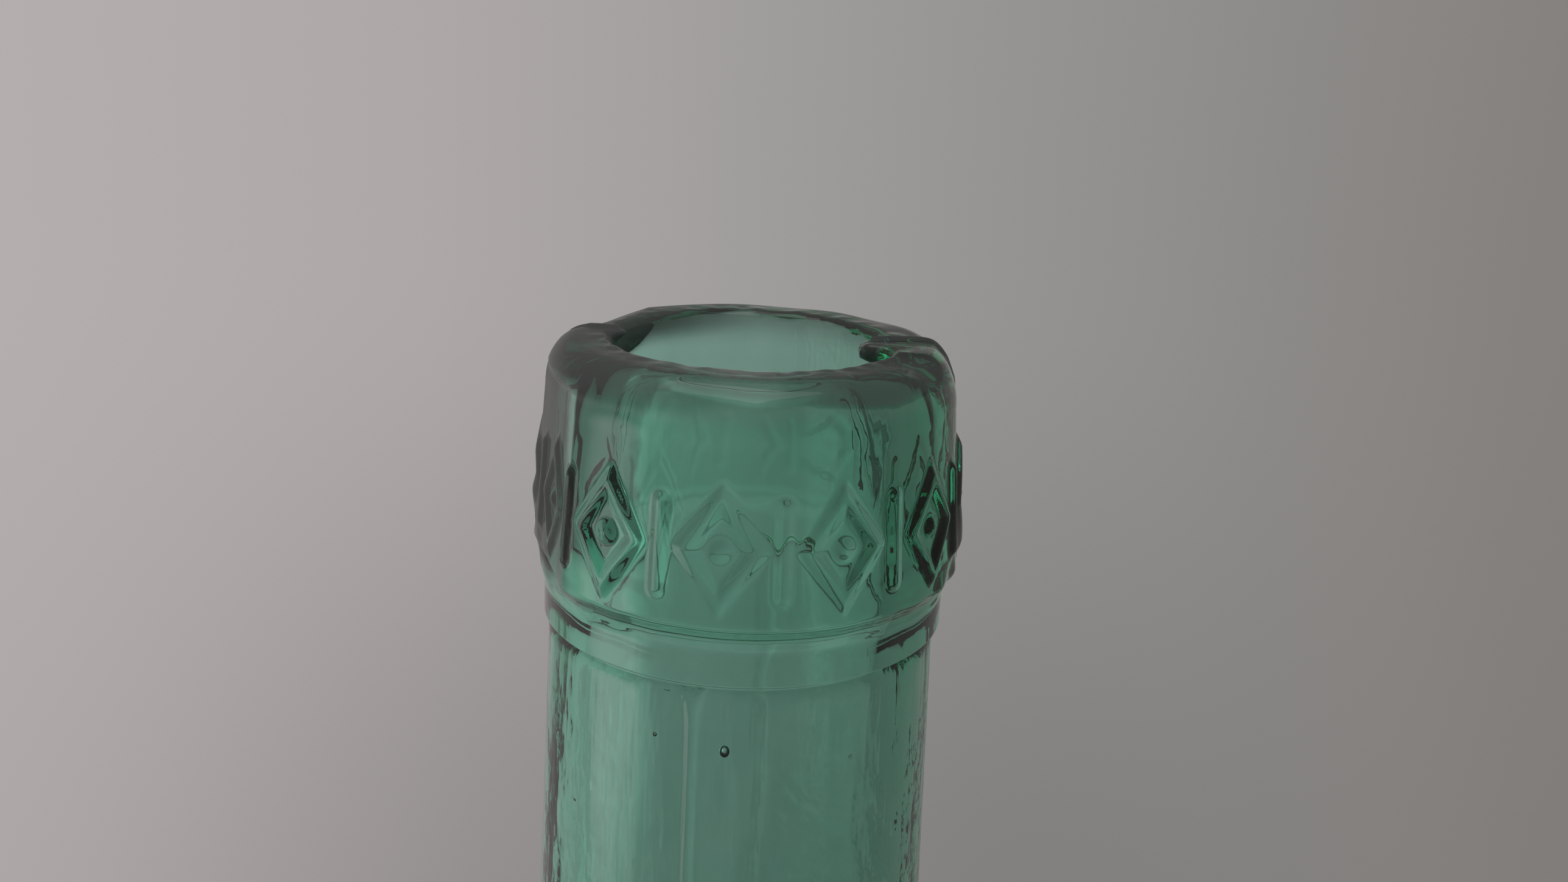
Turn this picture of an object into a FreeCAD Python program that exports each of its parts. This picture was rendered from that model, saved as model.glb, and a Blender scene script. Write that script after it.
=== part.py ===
"""Glass demijohn of about 16 litres, in millimetres.

One piece of blown and pressed glass: a pear-shaped body on a flat foot ring with a raised
underside, a long neck that widens a little downwards, and a heavy collar round the mouth.
+Z is up. The origin is the centre of the foot, on the plane that the foot ring stands on, and
the front of the collar faces -Y. Azimuths are measured from -Y, positive towards +X, and depths
are measured down from the crest of the lip.
"""

import FreeCAD
import Part
import math
import os

# Body: the radii of the arcs that its side is made of, from the shoulder to the heel
total_height = 455.0
belly_radius = 152.0
belly_height = 162.0
shoulder_curve = 187.0
lower_curve = 250.0
neck_root_curve = 38.0
heel_curve = 26.0
body_wall = 4.2

# Foot
foot_ring_width = 6.0
push_up = 18.0
base_thickness = 8.0
inner_heel_curve = 18.0

# Neck and bore. The bore is narrower at the mouth, by throat_step, than at the throat
neck_top_radius = 21.85
neck_taper = 0.033
neck_wall = 5.75
bore_taper = 0.033
throat_depth = 14.0
throat_step = 0.9
mouth_rounding = 1.2

# Collar round the mouth: its rim stands out past the ring below it, and it narrows upwards
collar_depth = 23.9
collar_overhang = 2.05
collar_narrowing = 1.5
collar_rim_rounding = 1.4
collar_bevel_drop = 2.4
lip_shoulder_drop = 5.9
lip_shoulder_run = 3.7

# Short ring under the collar, which sits a little off the neck's axis, towards +X
ring_depth = 31.0
ring_step = 0.1
ring_offset = 0.35
ring_edge_rounding = 0.6
ring_bury = 0.12

# Mould seams down the neck and body
seam_azimuth = -12.0
seam_width = 0.9
seam_height = 0.3
seam_root = 1.0
seam_lowest = 9.0

# Flash: the bead of glass that ran out at the collar mould's joint, over the lip
flash_azimuth = 97.0
flash_radius = 1.6
flash_height = 0.55
flash_depth = 11.0
knob_radius = 1.5

# Scoops out of the lip's shoulder, where chips of glass are missing: azimuth, ball radius, depth
lip_scoops = [(-112.0, 12.0, 1.3), (68.0, 20.0, 0.45)]
scoop_place = 0.45

# Raised band round the collar: lozenges with a bead in each, and an upright rib between each two
lozenge_count = 12
lozenge_height = 11.4
lozenge_width = 8.0
lozenge_stroke = 1.4
rib_height = 10.2
rib_width = 1.4
bead_radius = 1.25
band_turn = -5.5
relief_height = 0.7
relief_root = 0.8
relief_depth = 16.0

# Length of a Bezier handle, as a share of the radius, that makes a quarter of an ellipse
QUARTER_HANDLE = 0.5523

# Radii of the neck's parts, which all follow from the neck's own
ring_radius = neck_top_radius + ring_step
collar_rim_radius = ring_radius + collar_overhang
collar_top_radius = collar_rim_radius - collar_narrowing
lip_crest_radius = collar_top_radius - lip_shoulder_run
throat_radius = neck_top_radius - neck_wall
mouth_radius = throat_radius - throat_step

# Centres of the body's arcs in the half-section, which walls of any thickness share
SHOULDER_CENTRE = (belly_radius - shoulder_curve, belly_height)
LOWER_CENTRE = (belly_radius - lower_curve, belly_height)
HEEL_REACH = lower_curve - heel_curve
HEEL_CENTRE = (LOWER_CENTRE[0] + math.sqrt(HEEL_REACH ** 2 - (belly_height - heel_curve) ** 2), heel_curve)
FOOT_INNER_RADIUS = HEEL_CENTRE[0] - foot_ring_width
DOME_CURVE = (FOOT_INNER_RADIUS ** 2 + push_up ** 2) / (2 * push_up)
DOME_CENTRE = (0.0, push_up - DOME_CURVE)


def at(radius, height):
    """A point of the half-section, which lies in the XZ plane."""
    return FreeCAD.Vector(radius, 0, height)


def line(start, end):
    return Part.LineSegment(at(*start), at(*end)).toShape()


def arc(centre, radius, start, end):
    """The arc round centre from start to end, where both angles lie in the same half turn."""
    middle_angle = (math.atan2(start[1] - centre[1], start[0] - centre[0])
                    + math.atan2(end[1] - centre[1], end[0] - centre[0])) / 2
    middle = (centre[0] + radius * math.cos(middle_angle), centre[1] + radius * math.sin(middle_angle))
    return Part.Arc(at(*start), at(*middle), at(*end)).toShape()


def quarter_curve(side, slope, crest):
    """A quarter of an ellipse, from a side that leans by slope to a level crest."""
    rise = QUARTER_HANDLE * (crest[1] - side[1])
    run = QUARTER_HANDLE * (side[0] - crest[0])
    side_handle = (side[0] - slope * rise, side[1] + rise)
    crest_handle = (crest[0] + run, crest[1])
    curve = Part.BezierCurve()
    curve.setPoles([at(*point) for point in (side, side_handle, crest_handle, crest)])
    return curve.toShape()


def towards(start, end, distance):
    """The point at a distance from start, on the way to end."""
    share = distance / math.hypot(end[0] - start[0], end[1] - start[1])
    return (start[0] + share * (end[0] - start[0]), start[1] + share * (end[1] - start[1]))


def circles_meet(centre_a, radius_a, centre_b, radius_b):
    """The point, furthest from the axis, where two circles cross."""
    dx, dz = centre_b[0] - centre_a[0], centre_b[1] - centre_a[1]
    gap = math.hypot(dx, dz)
    along = (radius_a ** 2 - radius_b ** 2 + gap ** 2) / (2 * gap)
    across = math.sqrt(radius_a ** 2 - along ** 2)
    middle = towards(centre_a, centre_b, along)
    step = (across * dz / gap, -across * dx / gap)
    return max((middle[0] + side * step[0], middle[1] + side * step[1]) for side in (1, -1))


def revolve(edges):
    face = Part.Face(Part.Wire(edges))
    return face.revolve(FreeCAD.Vector(0, 0, 0), FreeCAD.Vector(0, 0, 1), 360)


def turned(shape, azimuth):
    """A copy of a shape made on +X, turned to an azimuth."""
    copy = shape.copy()
    copy.rotate(FreeCAD.Vector(0, 0, 0), FreeCAD.Vector(0, 0, 1), azimuth - 90)
    return copy


def shoulder_curves(grow, line_radius, line_height, taper):
    """The body's side from its widest line to a tapered neck line, grown outwards by grow.

    The neck line passes through line_radius at line_height. The arc at the neck's root touches
    both it and the shoulder's arc. Returns the edges and the point where the neck line starts.
    """
    shoulder_radius = shoulder_curve + grow
    root_radius = neck_root_curve - grow
    slant = math.hypot(1, taper)
    # The root arc's centre lies on the neck line moved outwards: radius = reach - taper * height
    reach = line_radius + taper * line_height + root_radius * slant
    offset = reach - SHOULDER_CENTRE[0]
    a = slant ** 2
    b = -2 * (taper * offset + SHOULDER_CENTRE[1])
    c = offset ** 2 + SHOULDER_CENTRE[1] ** 2 - (shoulder_radius + root_radius) ** 2
    height = (-b + math.sqrt(b ** 2 - 4 * a * c)) / (2 * a)
    root_centre = (reach - taper * height, height)
    neck_start = (root_centre[0] - root_radius / slant, height - root_radius * taper / slant)
    shoulder_end = towards(SHOULDER_CENTRE, root_centre, shoulder_radius)
    edges = [
        arc(SHOULDER_CENTRE, shoulder_radius, (belly_radius + grow, belly_height), shoulder_end),
        arc(root_centre, root_radius, shoulder_end, neck_start),
    ]
    return edges, neck_start


def body_side(grow):
    """Outside of the body and neck from the foot ring to the neck's top, grown by grow."""
    foot_edge = (HEEL_CENTRE[0], -grow)
    heel_end = towards(LOWER_CENTRE, HEEL_CENTRE, lower_curve + grow)
    neck_end = (neck_top_radius + grow, total_height - ring_depth)
    shoulder, neck_start = shoulder_curves(grow, *neck_end, neck_taper)
    edges = [
        arc(HEEL_CENTRE, heel_curve + grow, foot_edge, heel_end),
        arc(LOWER_CENTRE, lower_curve + grow, heel_end, (belly_radius + grow, belly_height)),
        *shoulder,
        line(neck_start, neck_end),
    ]
    return edges, foot_edge, neck_end


def collar_slope():
    return collar_narrowing / (collar_depth - lip_shoulder_drop)


def collar_radius(depth):
    """Radius of the collar's conical side at a depth."""
    return collar_top_radius + collar_slope() * (depth - lip_shoulder_drop)


def collar_outline(start):
    """From the waist under the collar, up its bevel and conical side, to the lip's crest."""
    waist = (ring_radius - ring_offset - ring_bury, total_height - collar_depth - collar_bevel_drop)
    rim = (collar_rim_radius, total_height - collar_depth)
    side = (collar_top_radius, total_height - lip_shoulder_drop)
    crest = (lip_crest_radius, total_height)
    bevel_turn = math.atan2(rim[0] - waist[0], rim[1] - waist[1])
    half_turn = (math.atan(collar_slope()) + bevel_turn) / 2
    setback = collar_rim_rounding * math.tan(half_turn)
    above = towards(rim, side, setback)
    under = towards(rim, waist, setback)
    chord_middle = ((above[0] + under[0]) / 2, (above[1] + under[1]) / 2)
    rim_centre = towards(rim, chord_middle, collar_rim_rounding / math.cos(half_turn))
    edges = [
        line(start, (waist[0], start[1])),
        line((waist[0], start[1]), waist),
        line(waist, under),
        arc(rim_centre, collar_rim_rounding, under, above),
        line(above, side),
        quarter_curve(side, collar_slope(), crest),
    ]
    return edges, crest


def inside_outline():
    """The mouth's rounding, the bore and the hollow, down to the middle of its floor."""
    mouth_edge = (mouth_radius + mouth_rounding, total_height)
    mouth_side = (mouth_radius, total_height - mouth_rounding)
    throat = (throat_radius, total_height - throat_depth)
    shoulder, bore_end = shoulder_curves(-body_wall, *throat, bore_taper)
    side_radius = lower_curve - body_wall
    floor_radius = DOME_CURVE + base_thickness
    corner = circles_meet(LOWER_CENTRE, side_radius - inner_heel_curve,
                          DOME_CENTRE, floor_radius + inner_heel_curve)
    corner_side = towards(LOWER_CENTRE, corner, side_radius)
    corner_floor = towards(DOME_CENTRE, corner, floor_radius)
    floor_middle = (0.0, DOME_CENTRE[1] + floor_radius)
    edges = [
        arc((mouth_edge[0], mouth_side[1]), mouth_rounding, mouth_edge, mouth_side),
        line(mouth_side, throat),
        line(throat, bore_end),
        *shoulder[::-1],
        arc(LOWER_CENTRE, side_radius, (belly_radius - body_wall, belly_height), corner_side),
        arc(corner, inner_heel_curve, corner_side, corner_floor),
        arc(DOME_CENTRE, floor_radius, corner_floor, floor_middle),
    ]
    return edges, mouth_edge, floor_middle


def glass_shell():
    """The plain turned form: foot, body, neck and collar outside, bore and hollow inside."""
    side, foot_edge, neck_end = body_side(0.0)
    collar, crest = collar_outline(neck_end)
    inside, mouth_edge, floor_middle = inside_outline()
    foot_inner = (FOOT_INNER_RADIUS, 0.0)
    dome_middle = (0.0, push_up)
    underside = [arc(DOME_CENTRE, DOME_CURVE, dome_middle, foot_inner), line(foot_inner, foot_edge)]
    return revolve(underside + side + collar + [line(crest, mouth_edge)] + inside
                   + [line(floor_middle, dome_middle)])


def brimful_volume():
    """What the hollow holds, filled to the crest of the lip."""
    inside, mouth_edge, floor_middle = inside_outline()
    centre = (0.0, total_height)
    return revolve(inside + [line(floor_middle, centre), line(centre, mouth_edge)]).Volume


def body_plate(grow):
    """A thin upright plate through the axis, out to the body's side on +X, grown by grow."""
    side, foot_edge, neck_end = body_side(grow)
    top, bottom = (0.0, neck_end[1]), (0.0, foot_edge[1])
    face = Part.Face(Part.Wire(side + [line(neck_end, top), line(top, bottom), line(bottom, foot_edge)]))
    face.translate(FreeCAD.Vector(0, -seam_width / 2, 0))
    return face.extrude(FreeCAD.Vector(0, seam_width, 0))


def mould_seams():
    """The two fine ridges down the neck and body, opposite each other."""
    below = Part.makeBox(belly_radius, seam_width, seam_lowest + 2 * seam_height,
                         FreeCAD.Vector(0, -seam_width / 2, -2 * seam_height))
    ridge = body_plate(seam_height).cut([body_plate(-seam_root), below])
    return [turned(ridge, seam_azimuth), turned(ridge, seam_azimuth + 180)]


def parting_ring():
    """The ring between the collar and the neck's top, off the neck's axis."""
    low = total_height - ring_depth
    high = total_height - collar_depth - collar_bevel_drop / 2
    ring = Part.makeCylinder(ring_radius, high - low, FreeCAD.Vector(ring_offset, 0, low))
    lower_edge = [edge for edge in ring.Edges if edge.Closed and abs(edge.CenterOfMass.z - low) < 1e-6]
    ring = ring.makeFillet(ring_edge_rounding, lower_edge)
    wall_middle = (throat_radius + ring_radius) / 2
    return ring.cut(Part.makeCylinder(wall_middle, high - low, FreeCAD.Vector(0, 0, low)))


def flash_bead():
    """A rounded bead up the collar and over the lip, ending in a knob at the mouth."""
    sink = flash_radius - flash_height
    foot = (collar_radius(flash_depth) - sink, total_height - flash_depth)
    side = (collar_top_radius - sink, total_height - lip_shoulder_drop)
    crest = (lip_crest_radius, total_height - sink)
    mouth = (mouth_radius + mouth_rounding, total_height - sink)
    path = Part.Wire([line(foot, side), quarter_curve(side, collar_slope(), crest), line(crest, mouth)])
    section = Part.Wire([Part.Circle(at(*foot), at(*side) - at(*foot), flash_radius).toShape()])
    ends = [Part.makeSphere(flash_radius, at(*foot)), Part.makeSphere(knob_radius, at(*mouth))]
    return turned(path.makePipeShell([section], True, True).fuse(ends), flash_azimuth)


def lip_scoop(azimuth, ball_radius, depth):
    """A ball that takes a shallow scoop out of the lip's shoulder."""
    angle = math.radians(90 * scoop_place)
    run, rise = lip_shoulder_run, lip_shoulder_drop
    surface = (lip_crest_radius + run * math.sin(angle), total_height - rise * (1 - math.cos(angle)))
    outwards = (surface[0] + math.sin(angle) / run, surface[1] + math.cos(angle) / rise)
    centre = towards(surface, outwards, ball_radius - depth)
    return turned(Part.makeSphere(ball_radius, at(*centre)), azimuth)


def relief_sleeve():
    """A conical sleeve that follows the collar's side, from within it to the relief's top."""
    corners = []
    for depth in (relief_depth + lozenge_height, relief_depth - lozenge_height):
        ends = [(collar_radius(depth) + grow, total_height - depth)
                for grow in (-relief_root, relief_height)]
        corners += ends if not corners else ends[::-1]
    return revolve([line(a, b) for a, b in zip(corners, corners[1:] + corners[:1])])


def collar_bar(corners):
    """A bar along +X, through the collar's wall, with corners set from the relief's middle."""
    start = collar_top_radius - 2 * relief_root
    length = collar_rim_radius + 2 * relief_height - start
    middle = total_height - relief_depth
    points = [FreeCAD.Vector(start, y, middle + z) for y, z in corners]
    return Part.Face(Part.makePolygon(points + points[:1])).extrude(FreeCAD.Vector(length, 0, 0))


def lozenge_bar(width, height):
    side, end = width / 2, height / 2
    return collar_bar([(0, end), (side, 0), (0, -end), (-side, 0)])


def rib_bar(width, height):
    side, end = width / 2, height / 2
    return collar_bar([(-side, end), (side, end), (side, -end), (-side, -end)])


def relief_band():
    """Lozenge frames with a round bead in each, and the ribs between them, all round the collar."""
    side = math.hypot(lozenge_width, lozenge_height) / 2
    opening_height = lozenge_height - 2 * lozenge_stroke * side / (lozenge_width / 2)
    opening_width = opening_height * lozenge_width / lozenge_height
    frame = lozenge_bar(lozenge_width, lozenge_height).cut(lozenge_bar(opening_width, opening_height))
    sleeve = relief_sleeve()
    lozenge = frame.common(sleeve)
    rib = rib_bar(rib_width, rib_height).common(sleeve)
    bead_centre = (collar_radius(relief_depth) + relief_height - bead_radius, total_height - relief_depth)
    bead = Part.makeSphere(bead_radius, at(*bead_centre))
    step = 360.0 / lozenge_count
    pieces = []
    for place in range(lozenge_count):
        azimuth = band_turn + place * step
        pieces += [turned(lozenge, azimuth), turned(bead, azimuth), turned(rib, azimuth + step / 2)]
    return pieces


def demijohn():
    glass = glass_shell().cut([lip_scoop(*scoop) for scoop in lip_scoops])
    return glass.fuse([parting_ring(), flash_bead(), *mould_seams(), *relief_band()])


demijohn_glass = demijohn()
os.makedirs("parts", exist_ok=True)
demijohn_glass.Solids[0].exportStep("parts/demijohn.step")
print("solids:", len(demijohn_glass.Solids), "valid:", demijohn_glass.isValid())
print("glass volume, cubic metres:", round(demijohn_glass.Volume / 1e9, 7))
print("brimful volume, litres:", round(brimful_volume() / 1e6, 2))
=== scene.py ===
# %% [markdown]
# # A glass demijohn
#
# A demijohn is a big bottle for wine or oil. This one is of aqua-green bottle glass, blown and
# pressed in an iron mould, with a heavy collar round its mouth. Everything that the eye reads in
# it comes from light that bends through thick, uneven walls, so the lesson spends its effort on
# one closed mesh with a true inside and outside. A stack of finishes would not do the same.

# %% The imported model
import math

import bpy
import numpy as np
from mathutils import Matrix, Vector


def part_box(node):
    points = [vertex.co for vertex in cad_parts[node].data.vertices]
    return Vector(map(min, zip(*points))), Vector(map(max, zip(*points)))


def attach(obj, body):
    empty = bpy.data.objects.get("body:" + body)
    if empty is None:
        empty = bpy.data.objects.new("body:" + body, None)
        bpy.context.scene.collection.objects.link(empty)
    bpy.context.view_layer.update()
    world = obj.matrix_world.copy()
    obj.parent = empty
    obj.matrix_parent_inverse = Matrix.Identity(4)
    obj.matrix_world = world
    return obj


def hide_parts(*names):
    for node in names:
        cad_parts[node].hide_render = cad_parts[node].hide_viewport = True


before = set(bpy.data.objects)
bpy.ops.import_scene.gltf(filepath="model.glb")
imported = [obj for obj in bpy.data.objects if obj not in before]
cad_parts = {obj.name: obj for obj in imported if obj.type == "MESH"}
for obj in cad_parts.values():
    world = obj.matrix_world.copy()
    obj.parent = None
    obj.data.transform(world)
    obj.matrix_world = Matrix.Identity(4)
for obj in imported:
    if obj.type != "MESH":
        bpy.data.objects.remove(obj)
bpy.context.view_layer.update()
low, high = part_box("demijohn")
print("packed model, metres:", [round(v, 4) for v in (*low, *high)])

# %% [markdown]
# ## Sizes
#
# The frame gives the jar's height and its widest radius. The sizes of the neck and collar are
# those of the maker's drawing, in millimetres, because glass walls are easier to read that way.
# Depths run down from the crest of the lip. Azimuths run from the front, which faces -Y, and
# grow towards +X.

# %% Sizes in millimetres
MM = 0.001
BEAD_RISE = 0.55
CREST = high.z / MM - BEAD_RISE
BELLY_RADIUS = high.x / MM
BELLY_HEIGHT = 162.0
SHOULDER_CURVE = 187.0
LOWER_CURVE = 250.0
NECK_ROOT_CURVE = 38.0
HEEL_CURVE = 26.0
BODY_WALL = 4.2

FOOT_RING_WIDTH = 6.0
PUSH_UP = 18.0
BASE_THICKNESS = 8.0
INNER_HEEL_CURVE = 18.0

NECK_RADIUS = 21.85
NECK_TAPER = 0.033
NECK_WALL = 5.75
THROAT_DEPTH = 14.0
THROAT_STEP = 0.9
MOUTH_ROUNDING = 1.2

RIM_RADIUS = 24.0
COLLAR_NARROWING = 1.5
COLLAR_DEPTH = 23.9
RIM_ROUNDING = 1.4
BEVEL_DROP = 2.4
LIP_DROP = 5.9
LIP_RUN = 3.7
RING_DEPTH = 31.0

COLLAR_TOP_RADIUS = RIM_RADIUS - COLLAR_NARROWING
CREST_RADIUS = COLLAR_TOP_RADIUS - LIP_RUN
THROAT_RADIUS = NECK_RADIUS - NECK_WALL
MOUTH_RADIUS = THROAT_RADIUS - THROAT_STEP
COLLAR_SLOPE = COLLAR_NARROWING / (COLLAR_DEPTH - LIP_DROP)
print("crest of the lip at", round(CREST, 2), "mm, mouth", round(2 * MOUTH_RADIUS, 1), "mm wide")

# %% [markdown]
# ## Camera
#
# The camera looks down on the collar from close by, a little from above, as someone does who
# bends over the jar to look at its mouth. It is placed from the crest of the lip, so it follows
# the jar if the frame changes. It leans a little to one side, as a camera held in the hand does.

# %% Camera
CAMERA_AWAY = 142.7 * MM
CAMERA_ABOVE = 30.6 * MM
LOOK_DOWN = math.radians(16.46)
LOOK_ASIDE = math.radians(1.59)
LEAN = math.radians(2.80)
SENSOR_WIDTH = 36.0
LENS = 30.7453
NEAREST_SEEN = 10 * MM


def aim(forward, lean):
    """The rotation that looks along forward, with its top leaning by an angle."""
    across = forward.cross(Vector((0, 0, 1))).normalized()
    upright = across.cross(forward)
    right = across * math.cos(lean) + upright * math.sin(lean)
    up = upright * math.cos(lean) - across * math.sin(lean)
    return Matrix((right, up, -forward)).transposed().to_4x4()


camera = bpy.data.objects.new("camera", bpy.data.cameras.new("camera"))
bpy.context.scene.collection.objects.link(camera)
camera.data.sensor_width = SENSOR_WIDTH
camera.data.lens = LENS
camera.data.clip_start = NEAREST_SEEN
forward = Vector((
    math.sin(LOOK_ASIDE) * math.cos(LOOK_DOWN),
    math.cos(LOOK_ASIDE) * math.cos(LOOK_DOWN),
    -math.sin(LOOK_DOWN),
))
camera.matrix_world = (Matrix.Translation((0, -CAMERA_AWAY, CREST * MM + CAMERA_ABOVE))
                       @ aim(forward, LEAN))
bpy.context.scene.camera = camera
print("camera at", [round(v, 4) for v in camera.matrix_world.translation], "metres")

# %% [markdown]
# ## Outline of the glass
#
# A jar is turned, so it starts as a half-section. A screw modifier could spin it, but every ring
# of the mesh is to be pushed in and out later, by relief and by ripples, so the section is kept
# as a list of rings instead: radius, height and the number of points round each. The section is
# walked in one go, from the middle of the floor up the inside, over the lip, and down the outside
# to the middle of the underside. Lines and arcs are cut into steps as short as what they carry.

# %% Lines and arcs
def line(start, end, step):
    """Points from start to end, without the end."""
    count = max(1, round(math.dist(start, end) / step))
    share = np.arange(count)[:, None] / count
    return np.array(start) + share * (np.array(end) - np.array(start))


def arc(centre, radius, start, end, step):
    """Points on the shorter arc round centre from start to end, without the end."""
    first = math.atan2(start[1] - centre[1], start[0] - centre[0])
    last = math.atan2(end[1] - centre[1], end[0] - centre[0])
    count = max(2, round(abs(last - first) * radius / step))
    angle = first + (last - first) * np.arange(count) / count
    return np.stack([centre[0] + radius * np.cos(angle), centre[1] + radius * np.sin(angle)], 1)


def towards(start, end, distance):
    """The point at a distance from start, on the way to end."""
    share = distance / math.dist(start, end)
    return (start[0] + share * (end[0] - start[0]), start[1] + share * (end[1] - start[1]))


def height_at(depth):
    """The height above the floor of a depth under the crest."""
    return CREST - depth


print("a line of 10 mm in steps of 0.3 mm has", len(line((0, 0), (0, 10), 0.3)), "points")


# %% Arcs of the body
SHOULDER_CENTRE = (BELLY_RADIUS - SHOULDER_CURVE, BELLY_HEIGHT)
LOWER_CENTRE = (BELLY_RADIUS - LOWER_CURVE, BELLY_HEIGHT)
HEEL_REACH = math.sqrt((LOWER_CURVE - HEEL_CURVE) ** 2 - (BELLY_HEIGHT - HEEL_CURVE) ** 2)
HEEL_CENTRE = (LOWER_CENTRE[0] + HEEL_REACH, HEEL_CURVE)
FOOT_INNER = (HEEL_CENTRE[0] - FOOT_RING_WIDTH, 0.0)
DOME_CURVE = (FOOT_INNER[0] ** 2 + PUSH_UP ** 2) / (2 * PUSH_UP)
DOME_CENTRE = (0.0, PUSH_UP - DOME_CURVE)
print("foot ring", round(2 * HEEL_CENTRE[0], 1), "mm wide, push-up", PUSH_UP, "mm high")


def shoulder_points(grow, radius, depth):
    """Where the shoulder's arc meets the neck's root, and the root the neck, for a wall's face."""
    root_radius = NECK_ROOT_CURVE - grow
    slant = math.hypot(1, NECK_TAPER)
    reach = radius + NECK_TAPER * height_at(depth) + root_radius * slant
    offset = reach - SHOULDER_CENTRE[0]
    b = -2 * (NECK_TAPER * offset + SHOULDER_CENTRE[1])
    c = offset ** 2 + SHOULDER_CENTRE[1] ** 2 - (SHOULDER_CURVE + grow + root_radius) ** 2
    height = (-b + math.sqrt(b ** 2 - 4 * slant ** 2 * c)) / (2 * slant ** 2)
    root_centre = (reach - NECK_TAPER * height, height)
    neck_start = (root_centre[0] - root_radius / slant, height - root_radius * NECK_TAPER / slant)
    return root_centre, towards(SHOULDER_CENTRE, root_centre, SHOULDER_CURVE + grow), neck_start


def circles_meet(centre_a, radius_a, centre_b, radius_b):
    """The point, furthest from the axis, where two circles cross."""
    gap = math.dist(centre_a, centre_b)
    along = (radius_a ** 2 - radius_b ** 2 + gap ** 2) / (2 * gap)
    across = math.sqrt(radius_a ** 2 - along ** 2) / gap
    middle = towards(centre_a, centre_b, along)
    dx, dz = centre_b[0] - centre_a[0], centre_b[1] - centre_a[1]
    return max((middle[0] + side * across * dz, middle[1] - side * across * dx) for side in (1, -1))


# %% [markdown]
# ## Rings
#
# The number of points round a ring is what fills the budget of faces. The collar carries the
# relief and is looked at closely, so it has the most. The neck has half as many, and the body
# and the bore half of that again, because their curves are long and smooth. The last number of
# each line and arc below is its step in millimetres, which is short for the same reasons.

# %% The inside, from the floor up to the mouth's edge
FINE, MEDIUM, COARSE = 512, 256, 128
BORE_CLOSE, MOUTH_CLOSE = 34.0, 4.0


def inside_rings():
    """Floor, wall, bore and throat, up to the mouth's edge."""
    throat = (THROAT_RADIUS, height_at(THROAT_DEPTH))
    root, shoulder_end, bore_end = shoulder_points(-BODY_WALL, THROAT_RADIUS, THROAT_DEPTH)
    side = LOWER_CURVE - BODY_WALL
    floor = DOME_CURVE + BASE_THICKNESS
    corner = circles_meet(LOWER_CENTRE, side - INNER_HEEL_CURVE, DOME_CENTRE, floor + INNER_HEEL_CURVE)
    corner_floor = towards(DOME_CENTRE, corner, floor)
    corner_side = towards(LOWER_CENTRE, corner, side)
    belly = (BELLY_RADIUS - BODY_WALL, BELLY_HEIGHT)
    fine_bore = towards(throat, bore_end, BORE_CLOSE)
    mouth_side = (MOUTH_RADIUS, height_at(MOUTH_ROUNDING))
    mouth_low = towards(mouth_side, throat, MOUTH_CLOSE)
    mouth_edge = (MOUTH_RADIUS + MOUTH_ROUNDING, CREST)
    return [
        (arc(DOME_CENTRE, floor, (0.0, DOME_CENTRE[1] + floor), corner_floor, 9.0), COARSE),
        (arc(corner, INNER_HEEL_CURVE, corner_floor, corner_side, 5.0), COARSE),
        (arc(LOWER_CENTRE, side, corner_side, belly, 10.0), COARSE),
        (arc(SHOULDER_CENTRE, SHOULDER_CURVE - BODY_WALL, belly, shoulder_end, 9.0), COARSE),
        (arc(root, NECK_ROOT_CURVE + BODY_WALL, shoulder_end, bore_end, 4.0), COARSE),
        (line(bore_end, fine_bore, 3.0), COARSE),
        (line(fine_bore, throat, 1.0), COARSE),
        (line(throat, mouth_low, 0.8), COARSE),
        (line(mouth_low, mouth_side, 0.5), MEDIUM),
        (arc((mouth_edge[0], mouth_side[1]), MOUTH_ROUNDING, mouth_side, mouth_edge, 0.3), MEDIUM),
    ]


# %% The lip
LIP_STEPS = 18


def lip_rings():
    """Across the flat of the lip and over its shoulder, a quarter of a leaning ellipse."""
    angle = np.radians(90 - 90 * np.arange(LIP_STEPS) / LIP_STEPS)
    radius = CREST_RADIUS + LIP_RUN * np.cos(angle)
    height = height_at(LIP_DROP) + LIP_DROP * np.sin(angle)
    flat = line((MOUTH_RADIUS + MOUTH_ROUNDING, CREST), (CREST_RADIUS, CREST), 0.4)
    return [(flat, FINE), (np.stack([radius, height], 1), FINE)]


# %% The collar's side and the ring under it
RELIEF_TOP, RELIEF_BOTTOM = 9.6, 22.4
RING_TUCK = 0.05
RING_EDGE_ABOVE, RING_EDGE_BELOW = 0.7, 0.5
RING_BEND, RING_BEND_STEPS = 1.1, 7


def eased(start, corner, end, count):
    """A soft bend that sets off towards a corner and comes away from it."""
    share = np.linspace(0, 1, count, endpoint=False)[:, None]
    start, corner, end = (np.array(point) for point in (start, corner, end))
    return (1 - share) ** 2 * start + 2 * share * (1 - share) * corner + share ** 2 * end


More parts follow.
